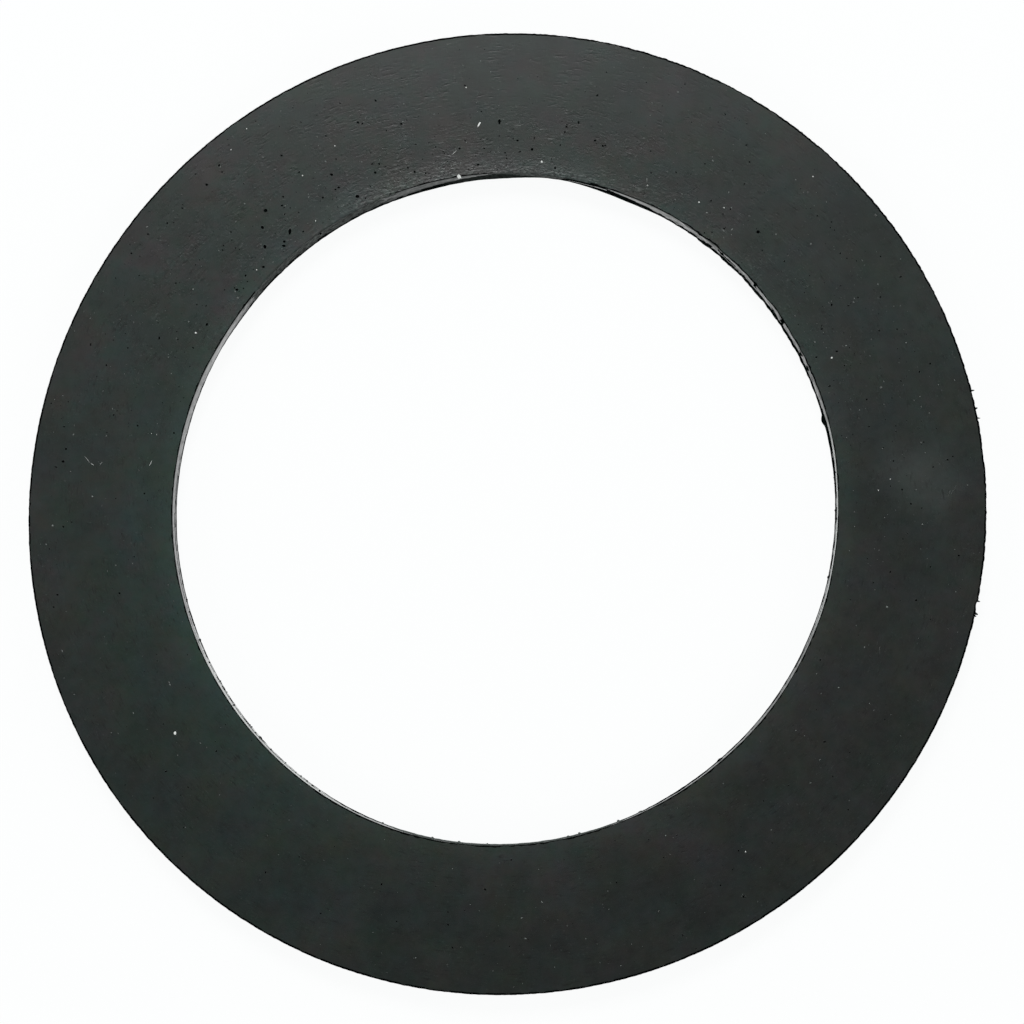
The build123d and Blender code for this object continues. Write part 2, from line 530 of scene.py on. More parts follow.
def knife_flecks(add, finish, place, track, heading, radius):
    """The flecks that the knife left: dashes and grains, in clusters, and most of them on the side of +Y.

    Gives the shares of the pale and of the black ones, how far the face is scuffed, and how uneven it is.
    """
    dashes = add("TexNoise", {"Vector": track, "Scale": 1.0, "Detail": 1.0})
    grain = add("TexNoise", {"Vector": place, "Scale": 1 / finish.grain, "Detail": 1.0})
    clusters = add("TexNoise", {"Vector": place, "Scale": 1 / finish.cluster, "Detail": 2.0})
    cluster_share = add("MapRange", (clusters, 0.42, 0.62, 0.3))
    inner_face = (radius, BORE_RADIUS, RIM_RADIUS - 3 * MM, 1.0, 0.25)
    bore_side = add("MapRange", inner_face, interpolation_type="SMOOTHSTEP")
    flecked_side = beside(add, heading, 88, 0.0, 1.0)
    dragged = add("Math", (flecked_side, bore_side), operation="MULTIPLY")
    dash_middle = add("MapRange", (dragged, 0.0, 1.0, 0.58, 0.49))
    # Between -X and +Y the outer half of the face is flecked too, but for its last millimetres
    outer_sector = beside(add, heading, 132, 0.68, 1.0)
    outer_side = beside_circle(add, radius, BORE_RADIUS + 7.0 * MM, 1.5 * MM, 5.0 * MM, 0.8)
    outer = add("Math", (outer_sector, outer_side), operation="MULTIPLY")
    dragged = add("Math", (dragged, outer), operation="MAXIMUM")
    amount = add("MapRange", (dragged, 0.0, 1.0, 0.6, 0.9))
    amount = add("Math", (amount, cluster_share), operation="MULTIPLY")
    # Along the bore, a little past +Y, it scuffed the rubber all over
    first_millimetres = (radius, BORE_RADIUS + 0.5 * MM, BORE_RADIUS + 3 * MM, 1.0, 0.0)
    at_bore = add("MapRange", first_millimetres, interpolation_type="SMOOTHSTEP")
    scuffed = add("Math", (beside(add, heading, 97, 0.86, 0.97), at_bore), operation="MULTIPLY")
    amount = add("Math", (amount, scuffed), operation="MAXIMUM")
    # Flecks are rarer where the knife did not drag: there the noise must rise further before one shows
    rarity = add("MapRange", (dragged, 0.0, 1.0, 0.045, 0.0))
    rarity = add("Math", (scuffed, -0.05, rarity), operation="MULTIPLY_ADD")
    dash_swing = add("Math", (dashes, dash_middle), operation="SUBTRACT")
    grain_swing = add("Math", (grain, 0.51), operation="SUBTRACT")
    swing = add("Math", (dash_swing, grain_swing, 0.03), operation="SMOOTH_MAX")
    swing = add("Math", (swing, rarity), operation="SUBTRACT")
    fall = add("Math", (dash_swing, grain_swing, 0.03), operation="SMOOTH_MIN")
    fall = add("Math", (fall, rarity), operation="ADD")
    # Most flecks are faint: a share rises as a power of how far the noise swings
    shares = []
    for noise, start, end, power in ((swing, 0.02, 0.27, 2.0), (fall, -0.04, -0.3, 1.6)):
        far = add("MapRange", (noise, start, end))
        far = add("Math", (far, power), operation="POWER")
        shares.append(add("Math", (far, amount), operation="MULTIPLY"))
    return *shares, scuffed, add("Math", (swing, fall), operation="ADD")


def face_roughness(add, finish, place, track, heading, radius, clouds, uneven):
    """How rough the cut face is: rough rubber takes more of the light from past the top edge."""
    rough = add("MapRange", (clouds, 0.3, 0.7, 0.435, 0.385))
    # Half-way across, on the side of +Y, the cut is a little smoother, and the drag left long, soft streaks
    half_way = beside_circle(
        add, radius, BORE_RADIUS + 6.0 * MM, 0.0, 7.5 * MM, 0.03, interpolation_type="SMOOTHSTEP"
    )
    streaks = add("TexNoise", {"Vector": track, "Scale": 0.4, "Detail": 1.0})
    streaks = add("Math", (streaks, 0.5), operation="SUBTRACT")
    smoother = add("Math", (streaks, 0.06, half_way), operation="MULTIPLY_ADD")
    smoother = add("Math", (beside(add, heading, 102, 0.35, 1.0), smoother), operation="MULTIPLY")
    rough = add("Math", (rough, smoother), operation="SUBTRACT")
    # Everywhere the cut face is mottled, from a millimetre down to its grain, and most on the side of +Y
    mottle = add(
        "TexNoise", {"Vector": place, "Scale": 1 / finish.mottle, "Detail": 2.0, "Roughness": 0.75}
    )
    mottle = add("Math", (uneven, 0.15, mottle), operation="MULTIPLY_ADD")
    mottle = add("Math", (mottle, 0.5), operation="SUBTRACT")
    depth = raised(add, heading, -0.16, (102, 0.35, 1.0, -0.08))
    return add("Math", (mottle, depth, rough), operation="MULTIPLY_ADD")


def cut_face_rubber(finish):
    """Black rubber, knife-cut and dry: matt, slightly green, with short marks that follow the knife.

    The cut gives the eye a soft sheen towards the light, clouds of lighter, greener and browner tone, and
    pale and black flecks that crowd where the knife dragged, on the side of +Y beside the bore.
    """
    made, add = material("knife_cut_rubber", IOR=1.5, Specular_IOR_Level=0.4)
    place, heading, radius, track = round_track(add, "radius", finish.dash_length, finish.dash_pitch)
    clouds = add(
        "TexNoise", {"Vector": place, "Scale": 1 / finish.cloud, "Detail": 4.0, "Roughness": 0.6}
    )
    tone = face_tint(add, finish, place, heading, radius)
    brightness = face_brightness(add, clouds, heading, radius)
    clouded = add("VectorMath", {0: tone, "Scale": brightness}, operation="SCALE")
    # One patch on the side of +X is rubbed greyer and paler than the rest, with an uneven outline
    rubbed_place = (38.1 * MM, 3.0 * MM, THICKNESS)
    rubbed = add("VectorMath", (place, rubbed_place), operation="DISTANCE", out="Value")
    rubbed = add("Math", (clouds, -4 * MM, rubbed), operation="MULTIPLY_ADD")
    rubbed = add("MapRange", (rubbed, -1.6 * MM, 3.2 * MM, 1.0, 0.0), interpolation_type="SMOOTHSTEP")
    pale_share, dark_share, scuffed, uneven = knife_flecks(add, finish, place, track, heading, radius)
    grey_share = add("Math", (rubbed, 0.075), operation="MULTIPLY")
    grey_share = add("Math", (scuffed, 0.05, grey_share), operation="MULTIPLY_ADD")
    grey_share = add("Math", (pale_share, 0.15, grey_share), operation="MULTIPLY_ADD")
    coats = ((grey_share, finish.scuff), (dark_share, finish.deep_rubber_and_shade))
    rough = face_roughness(add, finish, place, track, heading, radius, clouds, uneven)
    relief = add("Math", (pale_share, dark_share), operation="SUBTRACT")
    return finished(made, clouded, coats, rough, relief, 0.7, 0.016 * MM)


def clean_wall_rubber(finish):
    """The same rubber where the knife went through in one stroke: almost glossy, so that it mirrors the card.

    On two stretches a pale painted reflection of the card lies over it, which gives the eye the whitest parts
    of the bore's wall.
    """
    made, add = material("clean_cut_wall_rubber", IOR=1.5)
    place, heading, _, track = round_track(add, "height", 4.0 * MM, 0.18 * MM)
    lines = add("TexNoise", {"Vector": track, "Scale": 1.0, "Detail": 2.0})
    spots = add("TexNoise", {"Vector": place, "Scale": 1 / (0.5 * MM), "Detail": 3.0})
    rough = add("MapRange", (spots, 0.4, 0.7, 0.12, 0.34))
    # Towards the crumbled stretch and on the side of +X the wall is duller, in streaks
    dull = raised(add, heading, 0.0, (117, 0.84, 0.97, 1.0), (-22, 0.5, 0.95, 0.45))
    dulled = add("Math", (dull, lines), operation="MULTIPLY")
    rough = add("Math", (dulled, 0.6, rough), operation="MULTIPLY_ADD")
    # Painted reflection: towards -X and -Y, and towards +X, the wall takes a pale colour in streaks along its
    # lines
    near_left = beside(add, heading, 222, 0.9, 0.97)
    right = beside(add, heading, 357, 0.93, 0.98)
    reflecting_stretches = add("Math", (near_left, right), operation="MAXIMUM")
    reflection_streaks = add("MapRange", (lines, 0.35, 0.6, 0.2, 0.65))
    painted_reflection_share = add("Math", (reflecting_stretches, reflection_streaks), operation="MULTIPLY")
    coats = ((spots, finish.rubber), (painted_reflection_share, finish.painted_reflection))
    return finished(made, rgba(finish.deep_rubber_and_shade), coats, rough, lines, 0.3, 0.01 * MM)


def torn_rubber_and_shade(finish):
    """The same rubber where it tore before the knife: rough, black and without a sheen. On the bore's wall
    near +Y, and partly in the low band at its foot, this black is painted shade.

    It is greyed where the scallop ends and along the bore's lower side, most near the underside, so that the
    dark arcs there stay soft.
    """
    made, add = material("torn_rubber_and_shade", Specular_IOR_Level=0.0)
    place = add("TexCoord", out="Object")
    heading, _ = from_axis(add, place)
    height = add("SeparateXYZ", (place,), out="Z")
    scallop_end = beside(add, heading, 91.5, 0.985, 0.996)
    scallop_share = add("Math", (scallop_end, 0.055), operation="MULTIPLY")
    low_share = add("MapRange", (height, 0.6 * MM, 2.2 * MM, 0.45, 0.17))
    bottom = beside(add, heading, 271, 0.88, 0.965)
    bottom_share = add("Math", (bottom, low_share), operation="MULTIPLY")
    greyed = add("Math", (scallop_share, bottom_share), operation="MAXIMUM")
    crumbs = add(
        "TexNoise", {"Vector": place, "Scale": 1 / (0.3 * MM), "Detail": 4.0, "Roughness": 0.65}
    )
    crumbling = add("MapRange", (crumbs, 0.38, 0.62, 0.45, 1.55))
    greyed = add("Math", (greyed, crumbling), operation="MULTIPLY")
    crumb_share = add("MapRange", (crumbs, 0.45, 0.9))
    coats = ((crumb_share, finish.rubber), (greyed, finish.scuff))
    rough = add("MapRange", (crumbs, 0.0, 1.0, 0.8, 1.0))
    return finished(made, rgba(finish.deep_rubber_and_shade), coats, rough, crumbs, 0.6, 0.05 * MM)


def crumbled_rubber(finish):
    """The same rubber where the wall crumbled under the knife: rough and greyed, with black hollows.

    Without a sheen it looks as dark as the face beside it, and hides the wall.
    """
    made, add = material("crumbled_rubber", Specular_IOR_Level=0.1)
    place = add("TexCoord", out="Object")
    crumbs = add(
        "TexNoise", {"Vector": place, "Scale": 1 / (0.42 * MM), "Detail": 4.0, "Roughness": 0.7}
    )
    crumb_share = add("MapRange", (crumbs, 0.36, 0.72, 0.0, 0.42))
    rough = add("MapRange", (crumbs, 0.0, 1.0, 0.75, 1.0))
    coats = ((crumb_share, finish.scuff),)
    return finished(made, rgba(finish.deep_rubber_and_shade), coats, rough, crumbs, 0.7, 0.08 * MM)


def rim_rubber(finish):
    """The tube's own ground skin, which is the rim: satin, with fine lines round it and rubbed spots."""
    made, add = material("ground_rim_rubber", IOR=1.5, Specular_IOR_Level=0.35)
    place, _, _, track = round_track(add, "height", 3.0 * MM, 0.12 * MM)
    lines = add("TexNoise", {"Vector": track, "Scale": 1.0, "Detail": 3.0})
    spots = add("TexNoise", {"Vector": place, "Scale": 1 / (0.9 * MM), "Detail": 3.0})
    rubbed = add("MapRange", (spots, 0.5, 0.8))
    grey_lines = add("Math", (rubbed, lines), operation="MULTIPLY")
    grey_share = add("Math", (grey_lines, 0.3), operation="MULTIPLY")
    rough = add("MapRange", (lines, 0.0, 1.0, 0.45, 0.7))
    coats = ((grey_share, finish.scuff),)
    return finished(made, rgba(finish.rubber), coats, rough, lines, 0.4, 0.03 * MM)


def speckled(made, add, size, detail, stretch, colour, speck):
    """The material, of one colour with soft specks of another: noise of a size, stretched to their share."""
    place = add("TexCoord", out="Object")
    noise = add("TexNoise", {"Vector": place, "Scale": 1 / size, "Detail": detail})
    share = add("MapRange", (noise, *stretch))
    return finished(made, rgba(colour), ((share, speck),))


def painted_shade_rubber(finish):
    """Painted shade along the edges and in the pores' floors: a thin jet-black line, flecked with the
    rubber's own colour.
    """
    made, add = material("painted_edge_shade", Roughness=0.85, Specular_IOR_Level=0.0)
    return speckled(made, add, 0.4 * MM, 3.0, (0.55, 0.9, 0.0, 0.6), finish.deep_rubber_and_shade, finish.rubber)


def chalk_dust(marks):
    """Chalky release dust and cut fibre: matt and near white, a little greyer here and there."""
    made, add = material("chalk_dust", Roughness=0.9)
    return speckled(made, add, 1.5 * MM, 1.0, (0.0, 1.0), marks.grain_colour, marks.thin_grain_colour)


def rubber_crumb(finish):
    """Crumbs of rubber that the knife greyed: matt, from nearly as dark as the face to mid grey."""
    made, add = material("greyed_rubber_crumbs", Roughness=0.8, Specular_IOR_Level=0.3)
    return speckled(made, add, 0.9 * MM, 1.0, (0.3, 0.7, 0.1, 0.75), finish.warm_rubber, finish.scuff)


def white_card(colour):
    """Matt white card, lit from behind as in a light box: it looks white, and still takes a faint shadow."""
    made, add = material("white_card")
    tree = made.node_tree
    tree.nodes.remove(tree.nodes["Principled BSDF"])
    rays = add("LightPath").node.outputs
    seen = add("Math", (rays["Is Camera Ray"], rays["Is Glossy Ray"]), operation="MAXIMUM")
    seen = add("Math", (seen, rays["Is Transmission Ray"]), operation="MAXIMUM")
    backlit = add("Math", (seen, 0.95), operation="MULTIPLY")
    card = add("BsdfDiffuse", {"Color": rgba(colour)})
    glow = add("Emission", {"Color": rgba(colour), "Strength": 1.0})
    lit = add("MixShader", (backlit, card, glow))
    # From below the card lets the eye through, so that the underside can be looked at
    under = add("NewGeometry", out="Backfacing")
    both = add("MixShader", (under, lit, add("BsdfTransparent")))
    tree.links.new(both, tree.nodes["Material Output"].inputs["Surface"])
    return made


# The ring

# Where the bore's scallop and lobe and the rim's bite lie, in degrees, and how high the scallop reaches
SCALLOP_ANGLE = 81.0
LOBE_ANGLE = 15.4
BITE_ANGLE = 348.1
SCALLOP_HEIGHT = 1.5 * MM
# Two places in the section this near each other, in metres, are level
TINY = 1e-7


def wall_offset(shape, rng, angle, height):
    """How far the bore's wall lies outside its circle, in metres, at each angle and height.

    It is the sum of the scallop, a squared cosine round the ring that fades upwards to nothing at 1.5 mm; the
    lips, plateaus and squared cosines that stand into the bore below 0.5 mm; the lobe, a dome; lumps of noise
    on the torn stretches; the knife's ripple, noise that is long round the ring and short upwards; and the
    lean of the cut, which stands in towards the top on one stretch and towards the bottom on two.
    """
    low = smooth(1 - height / SCALLOP_HEIGHT)
    foot = smooth(1.2 - height / (0.7 * MM))
    scallop_share = np.clip(1.15 - height / SCALLOP_HEIGHT, 0, 1)
    scallop = shape.scallop_depth * hump(angle, SCALLOP_ANGLE, 11.5) * scallop_share
    lean = 0.11 * MM * plateau(angle, 134, 157, 8)
    under = 0.07 * MM * plateau(angle, 290, 350, 14) + 0.04 * MM * plateau(angle, 310, 354, 12)
    under += 0.1 * MM * plateau(angle, 2, 70, 10)
    lip = 0.085 * MM * plateau(angle, 92, 152, 9) + 0.055 * MM * hump(angle, 106, 10)
    lip += 0.055 * MM * hump(angle, 67.5, 5) - 0.06 * MM * hump(angle, 58.5, 6)
    lobe_height = np.cos(np.clip((height - 0.4 * MM) / (0.45 * MM), -1, 1) * math.pi / 2)
    lobe = 0.25 * MM * hump(angle, LOBE_ANGLE, 1.3) ** 0.7 * lobe_height
    torn = np.maximum(plateau(angle, 17, 63, 6), 0.35 * plateau(angle, 108, 138, 5))
    lumps = wall_noise(rng, angle, height, 0.55 * MM, 0.45 * MM, BORE_RADIUS)
    lumps += 0.5 * wall_noise(rng, angle, height, 0.28 * MM, 0.3 * MM, BORE_RADIUS)
    ripple = wall_noise(rng, angle, height, 3.0 * MM, 0.16 * MM, BORE_RADIUS)
    offset = scallop - lip * foot - lobe + shape.torn_relief * torn * lumps + shape.ripple * ripple
    offset = offset - lean * height / THICKNESS - under * (1 - height / THICKNESS)
    return offset + 0.012 * MM * low * round_noise(rng, angle, 0.4 * MM, BORE_RADIUS)


# Height in mm up to which the bore's wall is torn and black, at angles in degrees. Near +Y, from about 66 to
# 104 degrees, where the black reaches high up the wall, it is painted shade of a wall that mirrors floor in
# its own shadow, and the low band at the wall's foot is partly painted shade where the wall meets the floor.
TORN_LINE = [
    (0, 1.1), (3, 1.4), (15, 1.4), (20, 1.0), (30, 1.15), (50, 1.15), (60, 0.95), (63, 1.0), (66, 1.25),
    (69, 1.7), (71, 2.05), (72.3, 2.5), (79, 2.5), (81, 1.0), (85, 1.2), (89, 1.9), (91, 2.3), (93, 2.2),
    (95, 1.8), (97, 1.45), (100, 1.0), (104, 0.7), (110, 0.5), (170, 0.45),
    (196, 0.5), (205, 0.35), (236, 0.35), (243, 1.2), (250, 1.5), (256, 2.5), (286, 2.5), (292, 1.7),
    (300, 1.6), (309, 1.1), (330, 0.8), (345, 0.9), (360, 1.1),
]


def torn_height(rng, angle):
    """Height up to which the wall is torn: straight runs between the listed angles, made uneven by noise."""
    angles, heights = np.array(TORN_LINE).T
    line = np.interp(angle, angles, heights) * MM
    uneven = 0.14 + 0.3 * plateau(angle, 196, 325, 8) + 0.3 * plateau(angle, 342, 16, 6)
    return line + uneven * MM * round_noise(rng, angle, 0.6 * MM, BORE_RADIUS)


def section_stations(shape):
    """Stations of the ring's section, in order: up the bore's wall, out over the face, down the rim and back.

    Each is (share from bore to rim, offset from there outwards, height): straight runs with close stations
    beside the edges, quarter circles at the rim, and bevels at the bore.
    """
    arris = shape.arris
    rim_round = shape.rim_round
    stations = [(0, 0, z) for z in np.linspace(arris, THICKNESS - arris, 14)]
    stations += [(0, arris * 0.3, THICKNESS - arris * 0.3), (0, arris, THICKNESS)]
    stations += [(0, arris + step * MM, THICKNESS) for step in (0.03, 0.06, 0.1, 0.15, 0.22, 0.3, 0.8, 2.0)]
    stations += [(0.5, 0, THICKNESS)]
    stations += [(1, -rim_round - step * MM, THICKNESS) for step in (2.0, 0.8, 0.3, 0.12, 0.05)]
    for degrees in (0, 25, 50, 75, 90):
        turn = math.radians(degrees)
        stations.append((1, -rim_round * (1 - math.sin(turn)), THICKNESS - rim_round * (1 - math.cos(turn))))
    stations += [(1, 0, z) for z in (1.8 * MM, 1.2 * MM, 0.6 * MM)]
    for degrees in (0, 45, 90):
        turn = math.radians(degrees)
        stations.append((1, -rim_round * (1 - math.cos(turn)), rim_round * (1 - math.sin(turn))))
    stations += [(1, -rim_round - 0.3 * MM, 0), (0.5, 0, 0), (0, arris + 0.2 * MM, 0), (0, arris, 0)]
    return np.array(stations)


def bore_edge(shape, angle):
    """Radius of the bore's edge: oval and three-lobed, moved towards -X and +Y, with two flat stretches."""
    edge = BORE_RADIUS - 0.02 * MM + shape.bore_oval * np.cos(np.radians(2 * (angle - shape.bore_oval_turn)))
    edge += 0.08 * MM * np.cos(np.radians(3 * (angle + 13.5)))
    edge += -0.116 * MM * np.cos(np.radians(angle)) + 0.064 * MM * np.sin(np.radians(angle))
    edge += 0.1 * MM * plateau(angle, 2, 70, 10) + 0.07 * MM * plateau(angle, 310, 354, 12)
    return edge - 0.185 * MM * hump(angle, 217, 42) - 0.05 * MM * hump(angle, 292, 36)


def ring_points(shape, rng):
    """The ring's surface: the section's stations carried round the bore's axis.

    At each angle a, the rim and the bore lie at radius + oval * cos 2(a - oval turn), plus a smaller wave of
    three lobes. A station lies at its share of the way from the bore to the rim, plus its offset. The wall's
    offset is added on the bore's stations and fades out over the first millimetre of each face, and the
    rim's teeth are added on the rim's.
    """
    stations = section_stations(shape)
    angle = np.arange(shape.columns)[None] * 360 / shape.columns
    share, outwards, height = (stations[:, i, None] for i in range(3))
    rim = RIM_RADIUS + 0.03 * MM + shape.rim_oval * np.cos(np.radians(2 * (angle - shape.rim_oval_turn)))
    rim += 0.06 * MM * np.cos(np.radians(3 * (angle + 21.4)))
    bore = bore_edge(shape, angle)
    radius = bore + (rim - bore) * share + outwards
    near_bore = (share == 0) * smooth(1 - outwards / (1.0 * MM))
    radius = radius + near_bore * wall_offset(shape, rng, angle, np.broadcast_to(height, (len(stations), 1)))
    teeth = round_noise(rng, angle, 0.2 * MM, RIM_RADIUS)
    teeth = teeth + 0.4 * round_noise(rng, angle, 0.7 * MM, RIM_RADIUS)
    toothed = 0.45 + 0.55 * plateau(angle, 330, 100, 30)
    bite = 0.08 * MM * hump(angle, BITE_ANGLE, 0.7) ** 0.5
    near_rim = (share == 1) * smooth(1 + outwards / (0.6 * MM))
    radius = radius + near_rim * (shape.serration * toothed * teeth - bite)
    return polar(np.broadcast_to(angle, radius.shape), radius, height), stations, angle


# Black lines of the knife along the clean wall: start and end in degrees, height at each and half depth in mm
KNIFE_LINES = [
    (342.0, 15.0, 1.5, 1.5, 0.2),
    (170.0, 190.0, 0.9, 1.3, 0.09),
    (172.0, 206.0, 0.5, 1.9, 0.1),
    (186.0, 232.0, 0.5, 1.4, 0.1),
    (212.0, 246.0, 0.8, 1.5, 0.1),
    (318.0, 344.0, 1.0, 1.5, 0.12),
]

# Clean lines that it left in the torn wall
SHAVED_LINES = [(72.0, 80.0, 1.65, 1.5, 0.11), (92.0, 98.0, 2.1, 1.9, 0.1)]


def along_lines(lines, angle, height):
    """True where the wall is within half a depth of one of the lines, which rise evenly from start to end."""
    on_line = np.zeros(np.broadcast_shapes(angle.shape, height.shape), bool)
    for start, end, low, high, half_depth in lines:
        along = turn_between(angle, start) / ((end - start) % 360)
        line = (low + (high - low) * along) * MM
        on_line |= (along > 0) & (along < 1) & (np.abs(height - line) < half_depth * MM)
    return on_line


def ring_materials(shape, rng, stations, angle):
    """Which material each face of the ring takes, as an index into RING_SKINS."""
    after = np.roll(stations, -1, axis=0)
    middle = (stations + after) / 2
    share, outwards, height = (middle[:, i, None] for i in range(3))
    flat = np.abs(stations[:, 2] - after[:, 2])[:, None] < TINY
    top = flat & (height > THICKNESS / 2)
    wall = (share == 0) & ~flat & (outwards < shape.arris * 0.2)
    rim = (share == 1) & ~flat & (outwards > -TINY)
    slot = np.zeros((len(stations), angle.size), int)
    slot[np.broadcast_to(rim, slot.shape)] = RING_SKINS.index(rim_rubber)
    # Painted shade along the edges: the bevels and the rim's round, and a narrow uneven strip of face beside
    # each, are black
    whole = (plateau(angle, 74, 94, 2) + plateau(angle, 106, 142, 6)) > 0.5
    painted_shade_width = 0.03 + 0.03 * plateau(angle, 226, 262, 12)
    painted_shade_width = shape.arris + MM * (painted_shade_width + 0.06 * round_noise(rng, angle, 0.4 * MM, BORE_RADIUS))
    rim_painted_shade_width = MM * (0.04 + 0.03 * round_noise(rng, angle, 0.8 * MM, RIM_RADIUS))
    edge = ~flat & ~wall & ~rim
    edge = edge | (top & (share == 0) & (outwards < painted_shade_width))
    edge = edge & ~(whole & (share == 0) & (height > THICKNESS / 2))
    edge = edge | (top & (share == 1) & (outwards > -shape.rim_round - rim_painted_shade_width))
    slot[edge] = RING_SKINS.index(painted_shade_rubber)
    slot[np.broadcast_to(wall, slot.shape)] = RING_SKINS.index(clean_wall_rubber)
    height_column = np.broadcast_to(height, (len(stations), 1))
    blotches = wall_noise(rng, angle, height_column, 0.7 * MM, 0.5 * MM, BORE_RADIUS)
    crumbled = plateau(angle, 107, 143, 7) + plateau(angle, 78, 94, 3) > 0.5 + 0.4 * blotches
    slot[wall & crumbled] = RING_SKINS.index(crumbled_rubber)
    # The torn wall is black: near +Y, where it reaches high up the wall, this black is painted shade, and in
    # the low band at its foot partly so
    torn = (height < torn_height(rng, angle)) | (blotches * plateau(angle, 17, 60, 6) > 0.45)
    torn = (torn | along_lines(KNIFE_LINES, angle, height)) & ~along_lines(SHAVED_LINES, angle, height)
    slot[wall & torn] = RING_SKINS.index(torn_rubber_and_shade)
    return slot


RING_SKINS = (cut_face_rubber, clean_wall_rubber, torn_rubber_and_shade, crumbled_rubber, rim_rubber, painted_shade_rubber)


class GASKET_OT_ring(bpy.types.Operator):
    """Build the rubber ring as it lies, and let it stand for the CAD ring"""

    bl_idname = "gasket.ring"
    bl_label = "Ring"

    def execute(self, context):
        shape = context.scene.gasket_ring_shape
        finish = context.scene.gasket_finish
        rng = np.random.default_rng(shape.seed)
        points, stations, angle = ring_points(shape, rng)
        slots = ring_materials(shape, rng, stations, angle)
        skins = [skin(finish) for skin in RING_SKINS]
        faces = loop_faces(len(stations), shape.columns)
        ring = mesh_piece("gasket_body", points.reshape(-1, 3), faces, skins, slots)
        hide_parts("gasket_ring")
        return {"FINISHED"}


# Marks on the ring


def camera_axes(place):
    """Right, up and forward of a camera that looks at the origin with +Y upwards in the picture."""
    forward = -Vector(place).normalized()
    right = forward.cross(Vector((0, 1, 0))).normalized()
    return right, right.cross(forward), forward


def under_pixels(studio, x, y, height):
    """Places at a height under the photograph's pixels, in metres.

    The ray through a pixel runs from the camera along forward + right * (x - 512) / focal + up * (512 - y) /
    focal, with the pixel's centre moved by the lens shift, and meets the plane at that height.
    """
    right, up, forward = (np.array(axis) for axis in camera_axes(studio.camera_place))
    focal = studio.lens / SENSOR_WIDTH * PHOTO_WIDTH
    across = np.array(x) + 0.5 - PHOTO_WIDTH / 2 + studio.shift_x * PHOTO_WIDTH
    upwards = PHOTO_WIDTH / 2 - np.array(y) - 0.5 + studio.shift_y * PHOTO_WIDTH
    rays = forward + right * (across / focal)[:, None] + up * (upwards / focal)[:, None]
    start = np.array(studio.camera_place)
    return start + rays * ((height - start[2]) / rays[:, 2])[:, None]


def strewn(rng, count, crowded, share):
    """Random places on the face: even by area, but a share of them crowds round some angles, near the bore.

    crowded is a list of (angle, spread in degrees, depth from the bore in mm).
    """
    inner = BORE_RADIUS + 0.6 * MM
    outer = RIM_RADIUS - 0.5 * MM
    radius = np.sqrt(rng.uniform(inner**2, outer**2, count))
    angle = rng.uniform(0, 360, count)
    group = rng.integers(0, len(crowded), count)
    centre, spread, depth = (np.array(column)[group] for column in zip(*crowded))
    near = rng.random(count) < share
    crowd_angle = centre + spread * rng.standard_normal(count)
    crowd_radius = np.minimum(inner + depth * MM * rng.random(count) ** 1.3, outer)
    angle = np.where(near, crowd_angle, angle)
    radius = np.where(near, crowd_radius, radius)
    return polar(angle, radius, np.full(count, THICKNESS)), angle


def listed_and_strewn(studio, rng, listed, count, crowded, share, finest, spread, longest):
    """Places, lengths, widths and turns of listed marks and of a count of strewn ones, with no turn as yet.

    A strewn mark is the finest width plus the spread times the fourth power of a random share, and it is from
    one to the longest number of widths long. The strewn marks' directions from the axis come last.
    """
    fine_places, around = strewn(rng, count, crowded, share)
    fine_width = finest * MM + spread * MM * rng.random(count) ** 4
    fine_length = fine_width * rng.uniform(1.0, longest, count)
    x, y, length, width, turn = np.array(listed).T
    places = np.vstack([under_pixels(studio, x, y, THICKNESS), fine_places])
    length = np.concatenate([length * MM, fine_length])
    width = np.concatenate([width * MM, fine_width])
    return places, length, width, np.concatenate([turn, np.zeros(count)]), around


# Past this thickness a grain would stand out of the face too far
THICKEST_GRAIN = 0.1 * MM


class GASKET_OT_grains(bpy.types.Operator):
    """Strew white grains and grey crumbs over the upper face"""

    bl_idname = "gasket.grains"
    bl_label = "Grains"

    def execute(self, context):
        marks = context.scene.gasket_marks
        rng = np.random.default_rng(marks.seed)
        crowds = [(95, 20, 6.0), (93, 16, 3.0), (50, 16, 10.0), (25, 14, 9.0), (128, 16, 12.0)]
        crowds.append((150, 16, 12.0))
        places, length, width, turn, around = listed_and_strewn(
            context.scene.gasket_studio, rng, GRAINS + CRUMBS, marks.grain_count, crowds, share=0.55,
            finest=0.034, spread=0.075, longest=2.6,
        )
        turn[-len(around) :] = around + 90 + 30 * rng.standard_normal(len(around))
        # A grain is a flat pebble, sunk by a third of its height into the face, and the big ones are flakes
        pebble, faces = turned([(0, -0.5), (0.42, -0.3), (0.5, 0.02), (0.36, 0.3), (0, 0.42)], sides=7)
        rough = 1 + 0.22 * rng.uniform(-1, 1, (len(pebble), 1))
        thick = np.minimum(width * 0.7, THICKEST_GRAIN)
        lengths = np.stack([length, width, thick], axis=-1)
        places[:, 2] += thick * 0.15
        points, all_faces = copies(pebble * rough, faces, places, flat_axes(turn), lengths)
        grey = np.repeat(np.arange(len(places)) >= len(GRAINS), len(faces))
        skins = [chalk_dust(marks), rubber_crumb(context.scene.gasket_finish)]
        mesh_piece("grains_and_crumbs", points, all_faces, skins, grey)
        return {"FINISHED"}


